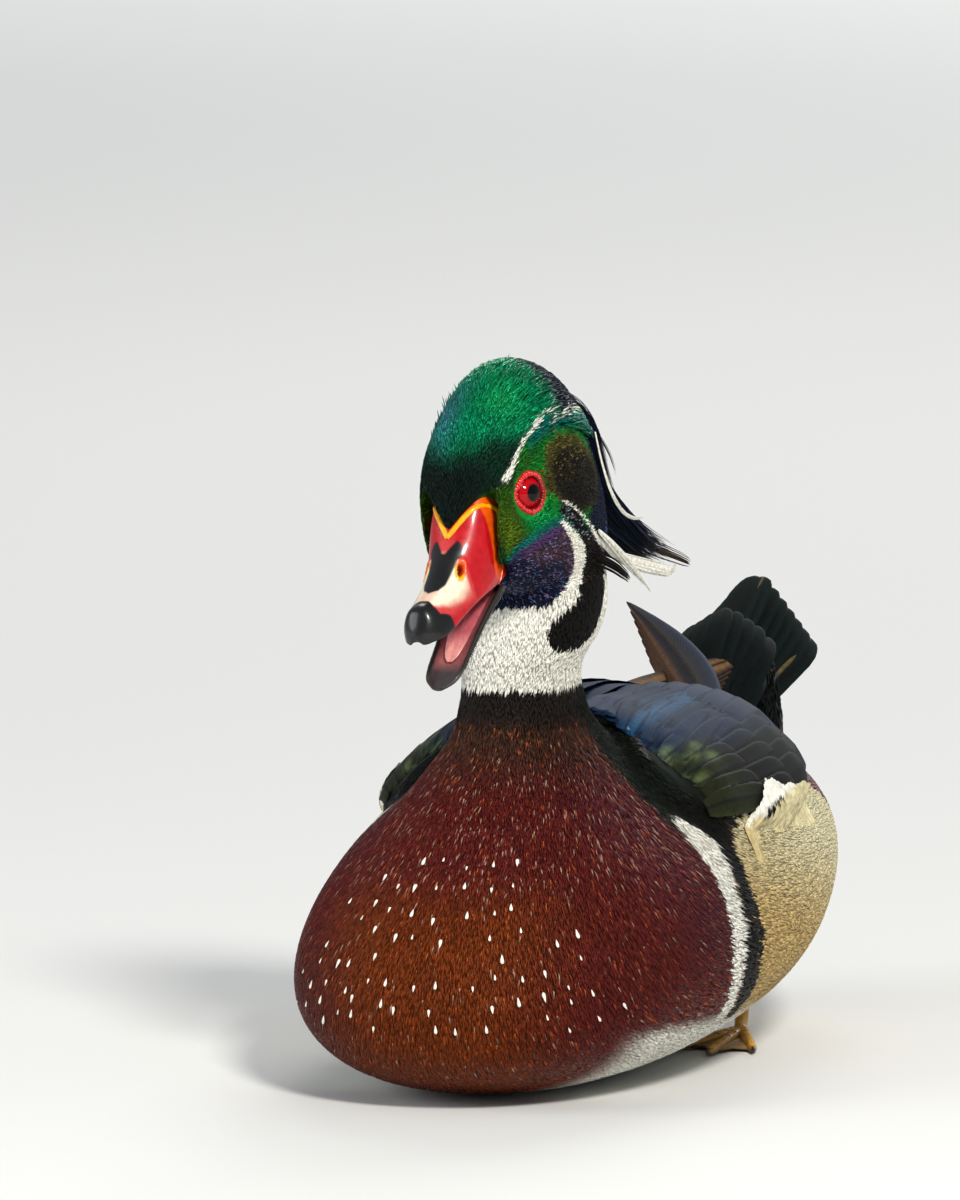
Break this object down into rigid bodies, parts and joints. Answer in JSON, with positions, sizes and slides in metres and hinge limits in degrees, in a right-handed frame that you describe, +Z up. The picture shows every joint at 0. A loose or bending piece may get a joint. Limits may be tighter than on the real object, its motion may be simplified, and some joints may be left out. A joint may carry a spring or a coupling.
{
  "type": "wood duck figure",
  "caption": "Life-size still figure of a drake wood duck resting on its belly, head turned and bill open, wings folded, tail cocked.",
  "frame": {"origin": "middle of the flat of the belly that the bird rests on", "axes": "+Z up, -Y to the front of the breast, +X to the bird's own left"},
  "size_m": [0.153, 0.3641, 0.2295],
  "materials": {
    "body_plumage": "close small feathers, chestnut and glossy on the breast, buff on the flank",
    "head_plumage": "fine glossy green and purple feathers with white lines",
    "bill": "smooth horn with red sides, a yellow rim, a white saddle and a black nail",
    "bill_dark": "smooth blackish horn",
    "mouth": "moist pink skin",
    "eye": "clear wet surface over a red iris and black pupil",
    "wing_feathers": "smooth vanes with a blue and bronze-green gloss",
    "tail_feathers": "long smooth black vanes with a green gloss",
    "foot": "dull yellow scaled skin with dusky webs"
  },
  "bodies": {
    "root": {"torso": "body_plumage", "neck": "body_plumage", "head": "head_plumage", "bill_upper": "bill", "bill_lower": "bill_dark", "tongue": "mouth", "eye_left": "eye", "eye_right": "eye", "wing_left": "wing_feathers", "wing_right": "wing_feathers", "tail": "tail_feathers", "foot_left": "foot", "foot_right": "foot"}
  },
  "joints": []
}
